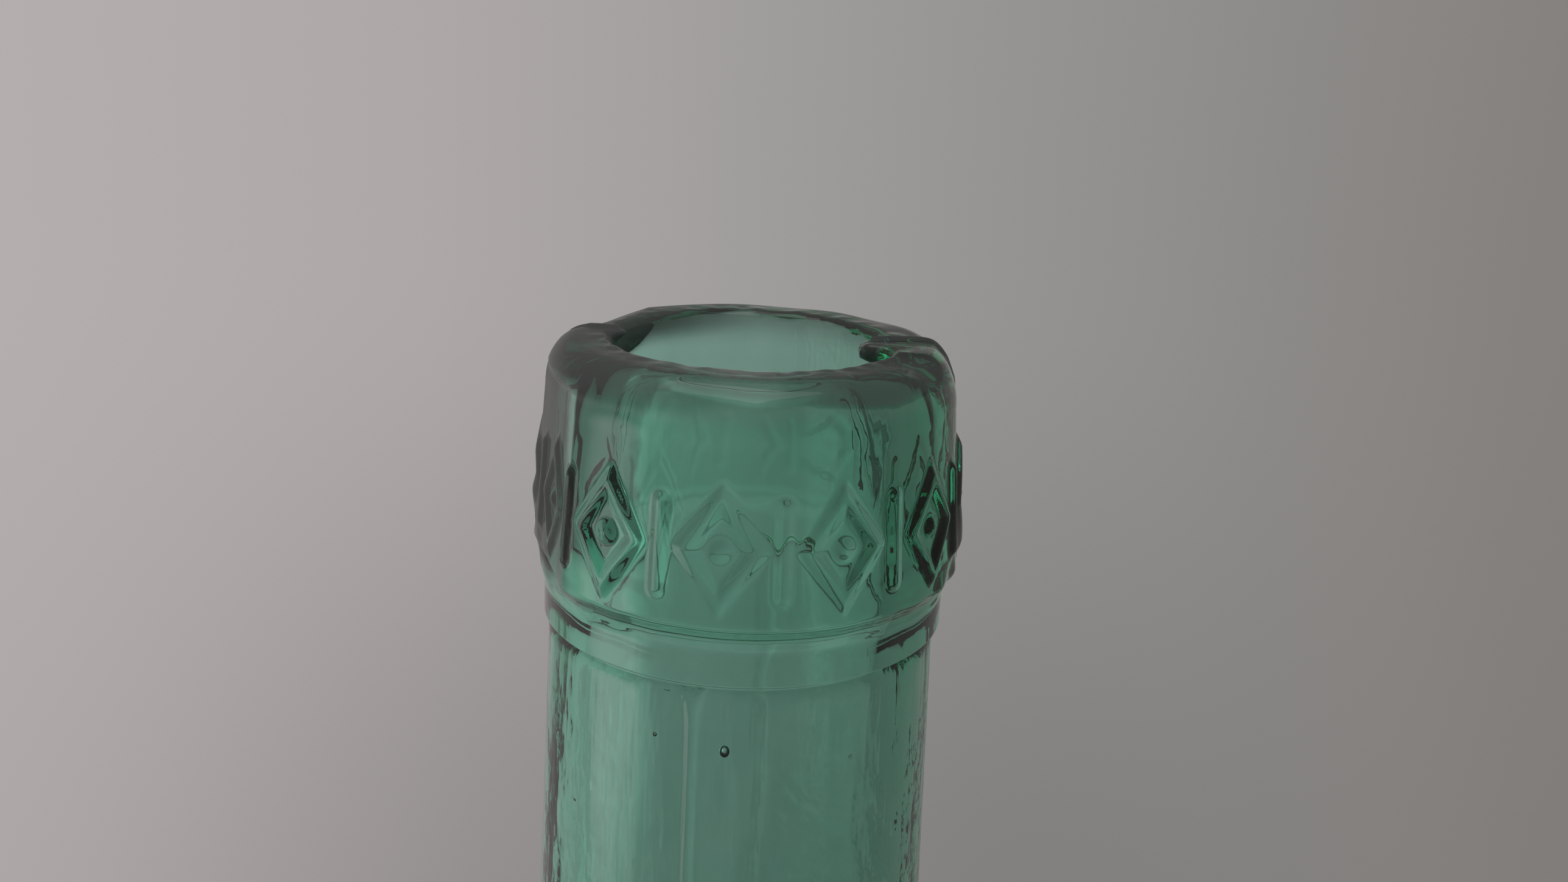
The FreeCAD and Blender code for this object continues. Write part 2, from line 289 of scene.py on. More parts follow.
def collar_rings():
    """Down the collar's side, round its rim and along the bevel to the ring."""
    def on_side(depth):
        return (COLLAR_TOP_RADIUS + COLLAR_SLOPE * (depth - LIP_DROP), height_at(depth))

    rim = (RIM_RADIUS, height_at(COLLAR_DEPTH))
    ring = (NECK_RADIUS - RING_TUCK, height_at(COLLAR_DEPTH + BEVEL_DROP))
    turn = (math.atan(COLLAR_SLOPE) + math.atan2(rim[0] - ring[0], rim[1] - ring[1])) / 2
    setback = RIM_ROUNDING * math.tan(turn)
    above, under = towards(rim, on_side(LIP_DROP), setback), towards(rim, ring, setback)
    middle = ((above[0] + under[0]) / 2, (above[1] + under[1]) / 2)
    centre = towards(rim, middle, RIM_ROUNDING / math.cos(turn))
    step_top = (NECK_RADIUS, height_at(RING_DEPTH - RING_EDGE_ABOVE))
    step_low = (NECK_RADIUS, height_at(RING_DEPTH + RING_EDGE_BELOW))
    bend_start, bend_end = (towards(ring, end, RING_BEND) for end in (under, step_top))
    return [
        (line(on_side(LIP_DROP), on_side(RELIEF_TOP), 0.5), FINE),
        (line(on_side(RELIEF_TOP), on_side(RELIEF_BOTTOM), 0.3), FINE),
        (line(on_side(RELIEF_BOTTOM), above, 0.4), FINE),
        (arc(centre, RIM_ROUNDING, above, under, 0.3), FINE),
        (line(under, bend_start, 0.4), FINE),
        (eased(bend_start, ring, bend_end, RING_BEND_STEPS), FINE),
        (line(bend_end, step_top, 0.6), FINE),
        (line(step_top, step_low, 0.11), FINE),
    ]


# %% The neck and body
NECK_CLOSE = 36.0


def body_rings():
    """Down the neck and body, under the foot ring and up into the push-up."""
    root, shoulder_end, neck_start = shoulder_points(0.0, NECK_RADIUS, RING_DEPTH)
    neck_top = (NECK_RADIUS, height_at(RING_DEPTH + RING_EDGE_BELOW))
    neck_close = towards(neck_top, neck_start, NECK_CLOSE)
    foot_edge = (HEEL_CENTRE[0], 0.0)
    heel_end = towards(LOWER_CENTRE, HEEL_CENTRE, LOWER_CURVE)
    belly = (BELLY_RADIUS, BELLY_HEIGHT)
    return [
        (line(neck_top, neck_close, 0.9), MEDIUM),
        (line(neck_close, neck_start, 2.5), MEDIUM),
        (arc(root, NECK_ROOT_CURVE, neck_start, shoulder_end, 4.0), COARSE),
        (arc(SHOULDER_CENTRE, SHOULDER_CURVE, shoulder_end, belly, 8.0), COARSE),
        (arc(LOWER_CENTRE, LOWER_CURVE, belly, heel_end, 9.0), COARSE),
        (arc(HEEL_CENTRE, HEEL_CURVE, heel_end, foot_edge, 4.0), COARSE),
        (line(foot_edge, FOOT_INNER, 2.0), COARSE),
        (arc(DOME_CENTRE, DOME_CURVE, FOOT_INNER, (0.0, PUSH_UP), 9.0), COARSE),
    ]


# %% The whole section
runs = inside_rings() + lip_rings() + collar_rings() + body_rings()
section = np.concatenate([points for points, _ in runs])
columns = np.concatenate([np.full(len(points), count) for points, count in runs])
section, columns = section[1:], columns[1:]
lip_start = sum(len(points) for points, _ in inside_rings()) - 1
print(len(section), "rings of", int(columns.sum()), "points")

# %% Distances along the section from the mouth's edge, and the way out into the air at each ring
steps = np.linalg.norm(np.diff(section, axis=0), axis=1)
travel = np.concatenate([[0.0], np.cumsum(steps)])
travel -= travel[lip_start]
tangent = np.gradient(section, axis=0)
tangent /= np.linalg.norm(tangent, axis=1)[:, None]
outward = np.stack([-tangent[:, 1], tangent[:, 0]], 1)
depth_of = CREST - section[:, 1]
print("up the inside", round(-travel[0]), "mm, and down the outside", round(travel[-1]), "mm")

# %% [markdown]
# ## Azimuths of the columns
#
# The two mould seams down the body are under two millimetres wide, but an even ring of points on
# the belly leaves gaps of seven millimetres. So on wide rings the columns are gathered at the
# seams, by steps that grow away from each seam. On the neck and collar they are gathered softly
# at the front instead.

# %% Columns
SEAM_AZIMUTH = math.radians(-12.0)
SEAM_STEPS = np.array([0.0, 0.45, 0.9, 1.8, 3.6, 7.2])
SEAM_NARROWEST = 20.0
FRONT_GATHER = 0.25
FRONT_UNTIL, SEAMS_FROM = 28.0, 60.0


def smooth(value, start, end):
    """0 before start and 1 after end, with a soft ramp between."""
    share = np.clip((value - start) / (end - start), 0, 1)
    return share * share * (3 - 2 * share)


def azimuths(count, radius):
    """Azimuth of each column on a ring of that radius."""
    turn = 2 * math.pi * np.arange(count) / count - math.pi
    front = turn - FRONT_GATHER * np.sin(turn)
    half = count // 2
    index = np.round((turn - SEAM_AZIMUTH) / (2 * math.pi / count)).astype(int)
    place = (index + half // 2) % half - half // 2
    seam = SEAM_AZIMUTH + math.pi * np.round((index - place) / half)
    reach = len(SEAM_STEPS) - 1
    near = SEAM_STEPS[np.minimum(np.abs(place), reach)] / max(radius, SEAM_NARROWEST)
    last = SEAM_STEPS[-1] / max(radius, SEAM_NARROWEST)
    far = last + (np.abs(place) - reach) / (half / 2 - reach) * (math.pi / 2 - last)
    gathered = seam + np.sign(place) * np.where(np.abs(place) <= reach, near, far)
    share = float(smooth(radius, FRONT_UNTIL, SEAMS_FROM))
    return (1 - share) * front + share * gathered


widest = np.diff(azimuths(COARSE, BELLY_RADIUS)) * BELLY_RADIUS
print("gaps on the belly:", round(widest.min(), 2), "to", round(widest.max(), 2), "mm")


# %% [markdown]
# ## Ripples
#
# Hot glass never fills a mould exactly, so none of its faces is quite even, and light that bends
# through them shows it. A noise texture could lift the surface, but it wouldn't close round the
# jar. Each field here is a sum of waves that fit round the jar a whole number of times. It gives
# how far the surface stands proud of the turned form, for a whole ring at a time.

# %% Waves that close round the jar
def ripple(seed, around, along, count=14):
    """A field of waves. around gives how many fit round the jar, along how many in a millimetre."""
    draw = np.random.default_rng(seed)
    rounds = draw.integers(around[0], around[1] + 1, count)
    rises = draw.uniform(along[0], along[1], count) * draw.choice([-1, 1], count) * 2 * math.pi
    phases = draw.uniform(0, 2 * math.pi, count)

    def field(azimuth, distance):
        waves = [np.cos(m * azimuth + k * distance + p) for m, k, p in zip(rounds, rises, phases)]
        return sum(waves) / math.sqrt(count / 2)

    return field


collar_sway = ripple(3, (2, 5), (0.0, 0.02))
collar_ripple = ripple(5, (6, 16), (0.0, 0.03))
bevel_ripple = ripple(7, (16, 32), (0.05, 0.16))
lip_ripple = ripple(8, (4, 12), (0.03, 0.09))
edge_ripple = ripple(13, (18, 40), (0.05, 0.20))
bore_ripple = ripple(21, (5, 13), (0.0, 0.02))
bore_fine = ripple(34, (14, 34), (0.0, 0.05))
neck_ripple = ripple(55, (6, 17), (0.0, 0.02))
neck_fine = ripple(89, (24, 60), (0.0, 0.03))
body_sway = ripple(144, (2, 5), (0.001, 0.005))
body_ripple = ripple(233, (5, 14), (0.004, 0.014))

# %% How high each kind of ripple stands
COLLAR_SWAY, COLLAR_RIPPLE, BEVEL_RIPPLE, LIP_RIPPLE = 0.04, 0.010, 0.05, 0.035
EDGE_OUTSIDE, EDGE_INSIDE = 0.045, 0.03
BORE_RIPPLE, BORE_FINE = 0.05, 0.012
NECK_RIPPLE, NECK_FINE = 0.04, 0.006
BODY_SWAY, BODY_OUTSIDE, BODY_INSIDE = 0.2, 0.06, 0.2
all_round = np.radians(np.arange(360))
neck_swing = float(NECK_RIPPLE * np.ptp(neck_ripple(all_round, 50.0)))
print("ripples swing the neck's face in and out by", round(neck_swing, 2), "mm")


# %% Ridges, windows and angles for marks
def bump(distance, half_width):
    """A rounded ridge: 1 on its line, falling softly to 0 at half_width from it."""
    share = np.clip(np.abs(distance) / half_width, 0, 1)
    return 0.5 + 0.5 * np.cos(math.pi * share)


def turn_to(azimuth, centre):
    """The angle from centre, between -pi and pi."""
    return (azimuth - math.radians(centre) + math.pi) % (2 * math.pi) - math.pi


def window(value, start, end, soft):
    """1 between start and end, with a soft ramp outside each."""
    return smooth(value, start - soft, start) * (1 - smooth(value, end, end + soft))


print("a ridge at a quarter of its half width:", round(float(bump(0.25, 1.0)), 3))

# %% [markdown]
# ## Relief of the collar
#
# A band of lozenges, each with a bead in it, and upright ribs between them is pressed into the
# collar. It could be carved by an image, but a few distances say the same and stay sharp close up,
# since each stroke is a rounded ridge along a line. Glass that was too cold to fill the mould
# leaves the band faint in front and behind, and full at the sides.

# %% Relief of the collar
RELIEF_COUNT = 12
RELIEF_TURN = -5.5
RELIEF_MIDDLE = 16.0
LOZENGE_HALF = (3.6, 5.2)
STROKE = 1.35
RIB_HALF = 4.4
BEAD_RADIUS = 1.6
RELIEF_BACK, RELIEF_FAINT, RELIEF_FULL = 0.14, 0.30, 0.58
RELIEF_FAINTEST = 8.0
RELIEF_RIGHT = 0.15
FRONT_BEGINS = (-0.3, 0.1)
STRONG_IN_FRONT, STRONG_BEHIND = (0.15, 0.7), (0.6, 0.97)


def relief_rise(azimuth):
    """How high the relief stands at each azimuth."""
    side = np.abs(np.sin(azimuth - math.radians(RELIEF_FAINTEST)))
    in_front = smooth(np.cos(azimuth), *FRONT_BEGINS)
    faint = RELIEF_BACK + (RELIEF_FAINT - RELIEF_BACK) * in_front
    strong = (in_front * smooth(side, *STRONG_IN_FRONT)
              + (1 - in_front) * smooth(side, *STRONG_BEHIND))
    return (faint + (RELIEF_FULL - faint) * strong) * (1 + RELIEF_RIGHT * np.sin(azimuth))


def relief_band(azimuth, depth, radius):
    """Lozenge frames with a bead in each, and an upright rib between each two."""
    step = 2 * math.pi / RELIEF_COUNT
    place = turn_to(azimuth, RELIEF_TURN)
    across = ((place + step / 2) % step - step / 2) * radius
    between = (place % step - step / 2) * radius
    up = RELIEF_MIDDLE - depth
    half_w, half_h = LOZENGE_HALF
    beyond = np.abs(across) / half_w + abs(up) / half_h - 1
    lozenge = bump(beyond * half_w * half_h / math.hypot(half_w, half_h), STROKE)
    bead = bump(np.hypot(across, up), BEAD_RADIUS)
    rib = bump(np.hypot(between, max(abs(up) - RIB_HALF, 0.0)), STROKE)
    return relief_rise(azimuth) * np.maximum(np.maximum(lozenge, bead), rib)


print("relief:", *(round(float(relief_rise(math.radians(a))), 2) for a in (0, 90, 180, -90)),
      "mm in front, right, behind, left")

# %% [markdown]
# ## Marks of the collar's making
#
# Glass ran out of the joint of the collar's mould as a bead of flash, up one side and over the
# lip. Flakes are missing from the lip, one side of the collar is flat, and the collar's mould
# stood out a little over that of the neck, which left a step with a groove under it. Sculpting
# by hand would give the same marks, but a function keeps each in reach, by name and by size.

# %% Flash, chips and the flat
FLASH_AZIMUTH = 97.0
FLASHES = [(FLASH_AZIMUTH, 0.5, 1.9, 17.0), (-FLASH_AZIMUTH, 0.35, 1.2, 6.0)]
FLASH_WANDERS = [(0.35, 0.9, 0.0), (0.2, 2.3, 1.0)]
FLASH_TAIL, FLASH_SOFT = 2.5, 1.5
SCOOPS = [(-116, 5.0, (9.0, 4.5), 1.0), (62, 2.6, (4.5, 3.2), 0.7)]
FACET_MIDDLE, FACET_HALF = -70.5, math.radians(20.0)


def flash(azimuth, distance, radius, centre, height, half_width, end):
    """The bead of glass that ran out of the collar mould's joint and over the lip."""
    across = turn_to(azimuth, centre) * radius
    wander = sum(size * np.sin(distance * pitch + phase) for size, pitch, phase in FLASH_WANDERS)
    fade = float(window(distance, 0.0, end - FLASH_TAIL, FLASH_SOFT))
    return height * fade * bump(across + wander, half_width)


def scoop(azimuth, distance, radius, centre, middle, size, depth):
    """A shallow hollow where a flake of glass is missing."""
    across = turn_to(azimuth, centre) * radius
    return -depth * np.clip(1 - (across / size[0]) ** 2 - ((distance - middle) / size[1]) ** 2, 0, 1)


def facet(azimuth, radius):
    """How far the flat on one side of the collar lies inside the round."""
    place = np.clip(turn_to(azimuth, FACET_MIDDLE), -FACET_HALF, FACET_HALF)
    return radius * (math.cos(FACET_HALF) / np.cos(place) - 1)


facet_depth = -float(facet(math.radians(FACET_MIDDLE), RIM_RADIUS))
print("the flat is cut", round(facet_depth, 2), "mm deep at its middle")

# %% The ring's step and groove, and the seams of the body's mould
RING_LEAST, RING_SIDES, RING_LEAN = 0.28, 0.40, 0.12
RING_STARTS = (COLLAR_DEPTH + 1, COLLAR_DEPTH + BEVEL_DROP)
RING_ENDS = (RING_DEPTH - 0.25, RING_DEPTH + 0.1)
GROOVE_LEAST, GROOVE_SIDES = 0.28, 0.14
GROOVE_UNDER, GROOVE_HALF = 0.3, 0.5
SEAM_RISE, SEAM_HALF = 0.36, 0.8
SEAM_STARTS, SEAM_FOOT = (RING_DEPTH, RING_DEPTH + 0.8), (6, 12)
FORK_HALF, FORK_LENGTH = 1.3, 1.4
FRONT_SEAM_SIDE, FAR_OFF = 1.0, 9.0


def ring_step(azimuth, depth):
    """The collar's mould stands out over that of the neck, with a groove under its edge."""
    side = np.sin(azimuth)
    step = RING_LEAST + RING_SIDES * side ** 2 + RING_LEAN * side
    groove = GROOVE_LEAST + GROOVE_SIDES * side ** 2
    on_ring = float(smooth(depth, *RING_STARTS) * (1 - smooth(depth, *RING_ENDS)))
    return step * on_ring - groove * float(bump(depth - RING_DEPTH - GROOVE_UNDER, GROOVE_HALF))


def seam_ridge(azimuth, depth, radius):
    """The two seams of the body's mould. The front one forks at its top, under the ring."""
    fork = FORK_HALF * math.exp(-(depth - RING_DEPTH) / FORK_LENGTH)
    rise = SEAM_RISE * float(smooth(depth, *SEAM_STARTS)) * float(smooth(CREST - depth, *SEAM_FOOT))
    front = (azimuth - SEAM_AZIMUTH + math.pi) % (2 * math.pi) - math.pi
    back = azimuth - SEAM_AZIMUTH - math.pi * np.round((azimuth - SEAM_AZIMUTH) / math.pi)
    back = np.where(np.abs(front) < FRONT_SEAM_SIDE, FAR_OFF, back)
    prongs = (bump(front * radius + side * fork, SEAM_HALF) for side in (-1, 1))
    return rise * np.maximum(np.maximum(*prongs), bump(back * radius, SEAM_HALF))


sides = ring_step(np.radians([0, 90, -90]), RING_DEPTH - 1)
print("the ring stands out by", [round(float(v), 2) for v in sides], "mm in front, right and left")

# %% [markdown]
# ## Where the marks lie
#
# Each mark has its own stretch of the section, with soft ends, or its ripples would break off at
# a line. Some stretches are depths under the crest, and some are distances along the section from
# the mouth's edge, which tell the flat of the lip from its shoulder where depths can't.

# %% Outside, ring by ring
SWAY_STARTS, SWAY_ENDS = (3, 9), (60, 90)
COLLAR_ENDS, COLLAR_MARKS_END = (26, 32), 40
LIP_ZONE = (3.0, 7.0, 3.0)
EDGE_ENDS = (0, 2.0)
BEVEL_ZONE = (COLLAR_DEPTH - 1.5, COLLAR_DEPTH + 2, 1.2)
FACET_BEGINS, FACET_ZONE = 4.0, (4.0, COLLAR_DEPTH, 1.5)
NECK_ZONE = (RING_DEPTH + 2, 85, 2.0)
BODY_STARTS, FOOT_ENDS = (80, 130), (0, 30)
BODY_SHRINK = 0.75


def body_share(depth):
    """0 on the neck and 1 on the body, where its walls sway."""
    return float(smooth(depth, *BODY_STARTS))


def collar_field(azimuth, distance, depth, radius):
    """What stands proud of the lip, the collar and its ring."""
    field = COLLAR_RIPPLE * float(1 - smooth(depth, *COLLAR_ENDS)) * collar_ripple(azimuth, distance)
    field += LIP_RIPPLE * float(window(distance, *LIP_ZONE)) * lip_ripple(azimuth, distance)
    field += EDGE_OUTSIDE * float(1 - smooth(distance, *EDGE_ENDS)) * edge_ripple(azimuth, distance)
    on_bevel = BEVEL_RIPPLE * float(window(depth, *BEVEL_ZONE))
    field += on_bevel * np.sin(azimuth) ** 2 * bevel_ripple(azimuth, distance)
    if distance > FACET_BEGINS:
        field += float(window(depth, *FACET_ZONE)) * facet(azimuth, radius)
    if RELIEF_TOP < depth < RELIEF_BOTTOM and radius > CREST_RADIUS:
        field += relief_band(azimuth, depth, radius)
    for mark in FLASHES:
        field += flash(azimuth, distance, radius, *mark)
    for mark in SCOOPS:
        field += scoop(azimuth, distance, radius, *mark)
    return field + ring_step(azimuth, depth)


def neck_field(azimuth, distance, depth, radius):
    """What stands proud of the neck and body."""
    field = NECK_RIPPLE * neck_ripple(azimuth, distance) + NECK_FINE * neck_fine(azimuth, distance)
    field = float(window(depth, *NECK_ZONE)) * field + seam_ridge(azimuth, depth, radius)
    on_body = body_share(depth) * float(smooth(CREST - depth, *FOOT_ENDS))
    sway = BODY_SWAY * body_sway(azimuth, distance) + BODY_OUTSIDE * body_ripple(azimuth, distance)
    return field + on_body * (sway - BODY_SHRINK)


def outside_field(azimuth, distance, depth, radius):
    """How far the outside stands proud of the turned form."""
    swaying = float(smooth(distance, *SWAY_STARTS) * (1 - smooth(depth, *SWAY_ENDS)))
    field = COLLAR_SWAY * swaying * collar_sway(azimuth, distance)
    if depth < COLLAR_MARKS_END:
        field += collar_field(azimuth, distance, depth, radius)
    if depth > RING_DEPTH - 1:
        field += neck_field(azimuth, distance, depth, radius)
    return field


# %% Inside, ring by ring
STREAK_AZIMUTH, STREAK_RISE, STREAK_HALF = -1.3, 0.22, 0.5
STREAK_ZONE = (43.0, 52.0, 3.0)
EDGE_INSIDE_ENDS = (1, 3)


def inside_field(azimuth, distance, depth, radius):
    """How far the inner wall stands out into the hollow."""
    in_bore = 1 - body_share(depth)
    field = in_bore * (BORE_RIPPLE * bore_ripple(azimuth, distance)
                       + BORE_FINE * bore_fine(azimuth, distance))
    field += float(1 - smooth(depth, *EDGE_INSIDE_ENDS)) * EDGE_INSIDE * edge_ripple(azimuth, distance)
    field += (1 - in_bore) * (BODY_INSIDE * body_ripple(azimuth, distance) + BODY_SHRINK)
    streak = bump(turn_to(azimuth, STREAK_AZIMUTH) * radius, STREAK_HALF)
    return field + STREAK_RISE * float(window(depth, *STREAK_ZONE)) * streak


# %% The mouth is drawn in by the flash's ends and at the front
KNOB_REACH, KNOB_AZIMUTH, KNOB_INSIDE, KNOB_HALF, KNOB_FLATNESS = 3.5, 91.0, 1.2, 3.3, 1.5
FOLD_REACH, FOLD_INSIDE, FOLD_HALF = 1.7, 0.6, 2.2
FRONT_REACH, FRONT_LENGTH = 0.7, 2.5


def mouth_slip(azimuth, distance):
    """How far a point near the mouth is drawn towards the axis."""
    near = math.exp(-(distance / FRONT_LENGTH) ** 2)
    across_knob = turn_to(azimuth, KNOB_AZIMUTH) * MOUTH_RADIUS
    across_fold = turn_to(azimuth, -FLASH_AZIMUTH) * MOUTH_RADIUS
    knob = np.minimum(KNOB_FLATNESS * bump(np.hypot(across_knob, distance + KNOB_INSIDE), KNOB_HALF), 1)
    fold = bump(np.hypot(across_fold, distance + FOLD_INSIDE), FOLD_HALF)
    in_front = near * np.clip(np.cos(azimuth), 0, 1)
    return KNOB_REACH * knob + FOLD_REACH * fold + FRONT_REACH * in_front


slip = mouth_slip(all_round, 0.0)
print("the mouth's edge is drawn in by up to", round(float(slip.max()), 2), "mm")

# %% [markdown]
# ## One closed mesh
#
# The rings are joined by quads. Where a ring has twice the points of the next, each pair of its
# edges is drawn to one edge of the other by three triangles, so the mesh stays closed. Light is
# bent by the surface's normals, so all faces are smooth.

# %% Its points
points = []
starts = []
for ring, (radius, height) in enumerate(section):
    azimuth = azimuths(columns[ring], radius)
    inside = ring < lip_start
    field_at = inside_field if inside else outside_field
    rise = field_at(azimuth, travel[ring], depth_of[ring], radius)
    out_r, out_z = outward[ring]
    ring_radius = radius + rise * out_r - mouth_slip(azimuth, travel[ring])
    starts.append(sum(len(p) for p in points))
    ring_height = np.minimum(height + rise * out_z, CREST + BEAD_RISE)
    points.append(np.stack([
        ring_radius * np.sin(azimuth), -ring_radius * np.cos(azimuth), ring_height], 1))
starts.append(sum(len(p) for p in points))
verts = np.concatenate(points + [[[0, 0, PUSH_UP + BASE_THICKNESS]], [[0, 0, PUSH_UP]]])
floor_pole, under_pole = len(verts) - 2, len(verts) - 1
print(len(verts), "points")


# %% Its faces
def band(first, first_count, second, second_count):
    """Faces between two rings, each starting at a point's number."""
    if first_count == second_count:
        here = np.arange(first_count)
        after = (here + 1) % first_count
        quads = np.stack([first + here, first + after, second + after, second + here], 1)
        return [tuple(quad) for quad in quads]
    flip = first_count < second_count
    fine, fine_count = (second, second_count) if flip else (first, first_count)
    rough, rough_count = (first, first_count) if flip else (second, second_count)
    faces = []
    for here in range(rough_count):
        after = (here + 1) % rough_count
        edge = [fine + (2 * here + k) % fine_count for k in range(3)]
        faces += [(edge[0], edge[1], rough + here), (edge[1], rough + after, rough + here),
                  (edge[1], edge[2], rough + after)]
    return [face[::-1] for face in faces] if flip else faces


faces = []
for ring in range(len(section) - 1):
    faces += band(starts[ring], columns[ring], starts[ring + 1], columns[ring + 1])
for pole, start, count, turn in ((floor_pole, starts[0], columns[0], 1),
                                 (under_pole, starts[-2], columns[-1], -1)):
    faces += [(pole, start + (k + 1) % count, start + k)[::turn] for k in range(count)]
print(len(faces), "faces")


def closed_volume(points, faces):
    """Volume inside a closed mesh, negative if its faces look inwards."""
    total = 0.0
    for face in faces:
        a, b, c = (points[face[k]] for k in (0, 1, 2))
        total += np.dot(a, np.cross(b, c))
        if len(face) == 4:
            total += np.dot(a, np.cross(c, points[face[3]]))
    return total / 6


volume = closed_volume(verts, faces)
if volume < 0:
    faces = [face[::-1] for face in faces]
print("glass volume, litres:", round(abs(volume) / 1e6, 4))

# %% [markdown]
# ## Seed bubbles
#
# Old bottle glass is full of small bubbles, drawn out along the way the glass ran. A bubble is a
# surface between glass and air, just as the outside is, so each is a small closed shell within
# the wall, whose faces look into the bubble. A painted speck would neither bend nor catch light.

# %% Bubbles
BUBBLE_RINGS, BUBBLE_COLUMNS = 7, 12
outer_side = section[lip_start:]
outer_side = outer_side[np.argsort(outer_side[:, 1])]


def bubble(azimuth, depth, under, radius, stretch):
    """Points and faces of a bubble that lies under the outer surface, drawn out upwards."""
    reach = np.interp(height_at(depth), outer_side[:, 1], outer_side[:, 0]) - under
    centre = np.array([reach * math.sin(azimuth), -reach * math.cos(azimuth), height_at(depth)])
    polar = np.pi * np.arange(1, BUBBLE_RINGS) / BUBBLE_RINGS
    around = 2 * np.pi * np.arange(BUBBLE_COLUMNS) / BUBBLE_COLUMNS
    rings = np.stack([
        np.outer(np.sin(polar), np.cos(around)),
        np.outer(np.sin(polar), np.sin(around)),
        stretch * np.outer(np.cos(polar), np.ones(BUBBLE_COLUMNS)),
    ], 2).reshape(-1, 3)
    shape = np.concatenate([rings, [[0, 0, stretch], [0, 0, -stretch]]]) * radius + centre
    top, bottom = len(shape) - 2, len(shape) - 1
    quads = []
    for ring in range(BUBBLE_RINGS - 2):
        quads += band(ring * BUBBLE_COLUMNS, BUBBLE_COLUMNS, (ring + 1) * BUBBLE_COLUMNS, BUBBLE_COLUMNS)
    last = (BUBBLE_RINGS - 2) * BUBBLE_COLUMNS
    for k in range(BUBBLE_COLUMNS):
        after = (k + 1) % BUBBLE_COLUMNS
        quads += [(top, after, k), (bottom, last + k, last + after)]
    return shape, quads


# %% Two bubbles that catch the eye, and others strewn over the neck and body
seeds = [(math.radians(-23.0), 37.6, 1.2, 0.22, 1.1), (math.radians(-3.0), 38.4, 1.3, 0.5, 1.35)]
NECK_SEEDS = (9, (34, 84), 2.2, (0.14, 0.3), 1.8)
BODY_SEEDS = (13, (150, 400), 2.8, (0.3, 0.8), 1.5)
draw = np.random.default_rng(377)
for amount, depths, under, radii, stretch in (NECK_SEEDS, BODY_SEEDS):
    for _ in range(amount):
        seeds.append((draw.uniform(-math.pi, math.pi), draw.uniform(*depths), under,
                      draw.uniform(*radii), stretch))
shells = []
for seed in seeds:
    shape, quads = bubble(*seed)
    if closed_volume(shape, quads) > 0:
        quads = [face[::-1] for face in quads]
    shells.append(shape)
    faces += [tuple(corner + len(verts) for corner in face) for face in quads]
    verts = np.concatenate([verts, shape])
print(len(shells), "bubbles,", sum(len(face) - 2 for face in faces), "triangles in all")

# %% The mesh of the glass
mesh = bpy.data.meshes.new("demijohn_glass")
mesh.from_pydata((verts * MM).tolist(), [], [tuple(int(i) for i in face) for face in faces])
mesh.validate()
mesh.shade_smooth()
glass = bpy.data.objects.new("demijohn_glass", mesh)
bpy.context.scene.collection.objects.link(glass)
print(len(mesh.vertices), "points in", mesh.name)

# %% [markdown]
# ## Nodes by arithmetic
#
# Shader maths is easier to read as an expression than as a list of nodes. This class wraps a
# socket, and each operator on it adds a Math node. Any other node comes from one method.

# %% A small language for nodes
class Wire:
    """A value on its way through a node tree."""

    def __init__(self, tree, socket):
        self.tree = tree
        self.socket = socket

    def math(self, operation, first, second):
        return self.tree.add("ShaderNodeMath", {"operation": operation}, {0: first, 1: second})

    def __add__(self, other):
        return self.math("ADD", self, other)

    def __radd__(self, other):
        return self.math("ADD", other, self)

    def __sub__(self, other):
        return self.math("SUBTRACT", self, other)

    def __rsub__(self, other):
        return self.math("SUBTRACT", other, self)

    def __mul__(self, other):
        return self.math("MULTIPLY", self, other)

    def __rmul__(self, other):
        return self.math("MULTIPLY", other, self)

    def __pow__(self, other):
        return self.math("POWER", self, other)


class Tree:
    """A material's or world's nodes, started empty."""

    def __init__(self, owner):
        owner.use_nodes = True
        self.nodes = owner.node_tree.nodes
        self.links = owner.node_tree.links
        self.nodes.clear()

    def add(self, kind, settings=None, sockets=None, output=0):
        """Adds a node, sets it up, then fills its sockets with values or wires."""
        node = self.nodes.new(kind)
        for name, value in (settings or {}).items():
            if name == "stops":
                ramp = node.color_ramp
                while len(ramp.elements) < len(value):
                    ramp.elements.new(0.5)
                for element, (position, colour) in zip(ramp.elements, value):
                    element.position = position
                    element.color = (*colour, 1.0)
            else:
                setattr(node, name, value)
        for name, value in (sockets or {}).items():
            if isinstance(value, Wire):
                self.links.new(value.socket, node.inputs[name])
            else:
                node.inputs[name].default_value = value
        return Wire(self, node.outputs[output]) if len(node.outputs) else node


# %% [markdown]
# ## Glass
#
# Old bottle glass is green all through, from iron in its sand, so the colour belongs to the volume:
# a thick collar is then darker than a thin wall. A tinted surface would be simpler, but it would
# make every wall equally green. The surface has faults too fine for the mesh. Chill marks are
# upright lines, left where hot glass touched cold iron. On the neck, flow lines lean across them
# low on the right, and blotches roughen the left. They are heights, added up for one Bump node.

# %% Helpers for places on the glass
glass_material = bpy.data.materials.new("bottle_glass")
tree = Tree(glass_material)
place = tree.add("ShaderNodeNewGeometry", output="Position")
x, y, z = (tree.add("ShaderNodeSeparateXYZ", None, {"Vector": place}, output=axis) for axis in "XYZ")


def ramp(value, start, end):
    """0 at start and 1 at end, softly."""
    return tree.add("ShaderNodeMapRange", {"interpolation_type": "SMOOTHSTEP"},
                    {"Value": value, "From Min": start, "From Max": end})


def along(axis, start, end):
    """A soft ramp between two places in millimetres."""
    return ramp(axis, start * MM, end * MM)


def down(start, end):
    """A soft ramp between two depths under the crest."""
    return along(z, CREST - start, CREST - end)


def noise(vector, scale, detail=2.0):
    return tree.add("ShaderNodeTexNoise", None, {"Vector": vector, "Scale": scale, "Detail": detail})


